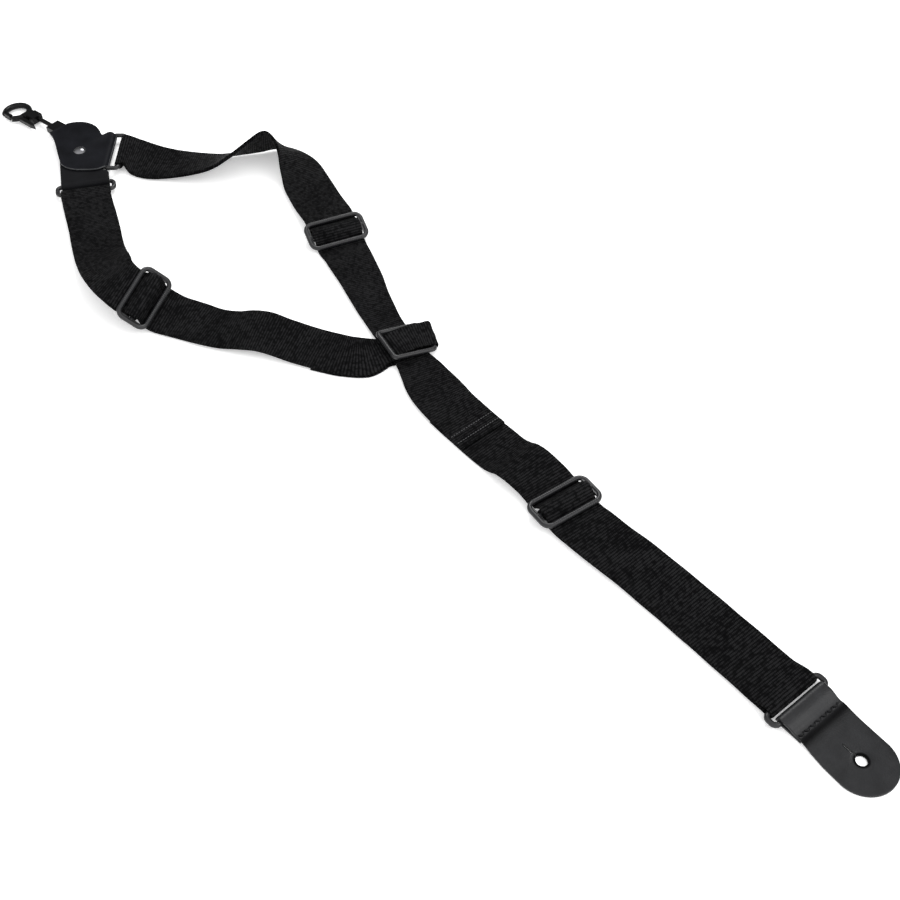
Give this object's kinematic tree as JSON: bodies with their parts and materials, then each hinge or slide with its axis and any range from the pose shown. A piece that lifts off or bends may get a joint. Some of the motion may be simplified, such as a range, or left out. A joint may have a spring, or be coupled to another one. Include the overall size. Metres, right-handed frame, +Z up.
{
  "type": "saxophone neck strap",
  "caption": "Saxophone strap of wide black webbing: neck loop with adjuster slides, leather hub with a swivel snap hook, and a tail strap ending in a leather button tab.",
  "frame": {"origin": "under the middle of the laid-out strap's bounding box, on the surface it lies on", "axes": "+X along the length from the snap hook towards the end tab, +Z up off the surface, +Y towards the strand of the neck loop that the upper slide is on"},
  "size_m": [1.1465, 0.2992, 0.0455],
  "materials": {
    "webbing": "ribbed woven nylon, matt",
    "leather": "fine pebble grain, satin",
    "ring_plastic": "moulded, satin",
    "hook_plastic": "moulded, glossy",
    "rivet_metal": "black enamel",
    "steel": "bright",
    "thread": "black sewing thread"
  },
  "bodies": {
    "strap": {"long_strap": "webbing", "side_strap": "webbing", "tail_strap": "webbing", "hub_leather_top": "leather", "hub_leather_lower": "leather", "hub_rivet": "rivet_metal", "rivet_cap": "rivet_metal", "ring_right": "ring_plastic", "ring_lower": "ring_plastic", "joint_ring": "ring_plastic", "swivel_base": "hook_plastic", "seam_tail": "thread"},
    "hook": {"hook_body": "hook_plastic", "swivel_post": "hook_plastic", "gate_pin": "steel", "gate_spring": "steel"},
    "gate": {"hook_gate": "hook_plastic"},
    "upper_slide": {"slide_upper": "ring_plastic"},
    "side_slide": {"slide_side": "ring_plastic"},
    "tail_slide": {"slide_tail": "ring_plastic"},
    "tail_ring": {"end_ring": "ring_plastic"},
    "tab": {"end_tab": "leather", "seam_tab": "thread"}
  },
  "joints": [
    {"name": "hook_swivel", "type": "hinge", "parent": "strap", "child": "hook", "pos_m": [-0.5038, -0.0196, 0.0068], "axis": [-0.9936, -0.1044, -0.0436], "continuous": true},
    {"name": "gate_hinge", "type": "hinge", "parent": "hook", "child": "gate", "pos_m": [-0.54796, -0.04141, 0.00478], "axis": [0.0434, 0.0046, -0.999], "range_deg": [0, 30], "stiffness_Nm_per_rad": 0.02, "springref_deg": -28.65},
    {"name": "upper_slide_travel", "type": "slide", "parent": "strap", "child": "upper_slide", "axis": [0.9323, -0.3616, 0], "range_m": [-0.02, 0.02], "deforming": ["long_strap"]},
    {"name": "side_slide_travel", "type": "slide", "parent": "strap", "child": "side_slide", "axis": [0.8526, 0.5225, 0], "range_m": [-0.015, 0.015], "deforming": ["side_strap"]},
    {"name": "tail_slide_travel", "type": "slide", "parent": "strap", "child": "tail_slide", "axis": [0.9848, -0.1736, 0], "range_m": [-0.02, 0.02], "deforming": ["tail_strap"]},
    {"name": "end_ring_turn", "type": "hinge", "parent": "strap", "child": "tail_ring", "pos_m": [0.47897, -0.02274, 0.0049], "axis": [-0.0872, -0.9962, 0], "range_deg": [0, 70]},
    {"name": "end_tab_turn", "type": "hinge", "parent": "tail_ring", "child": "tab", "pos_m": [0.48943, -0.02366, 0.0049], "axis": [-0.0872, -0.9962, 0], "range_deg": [0, 90]}
  ]
}
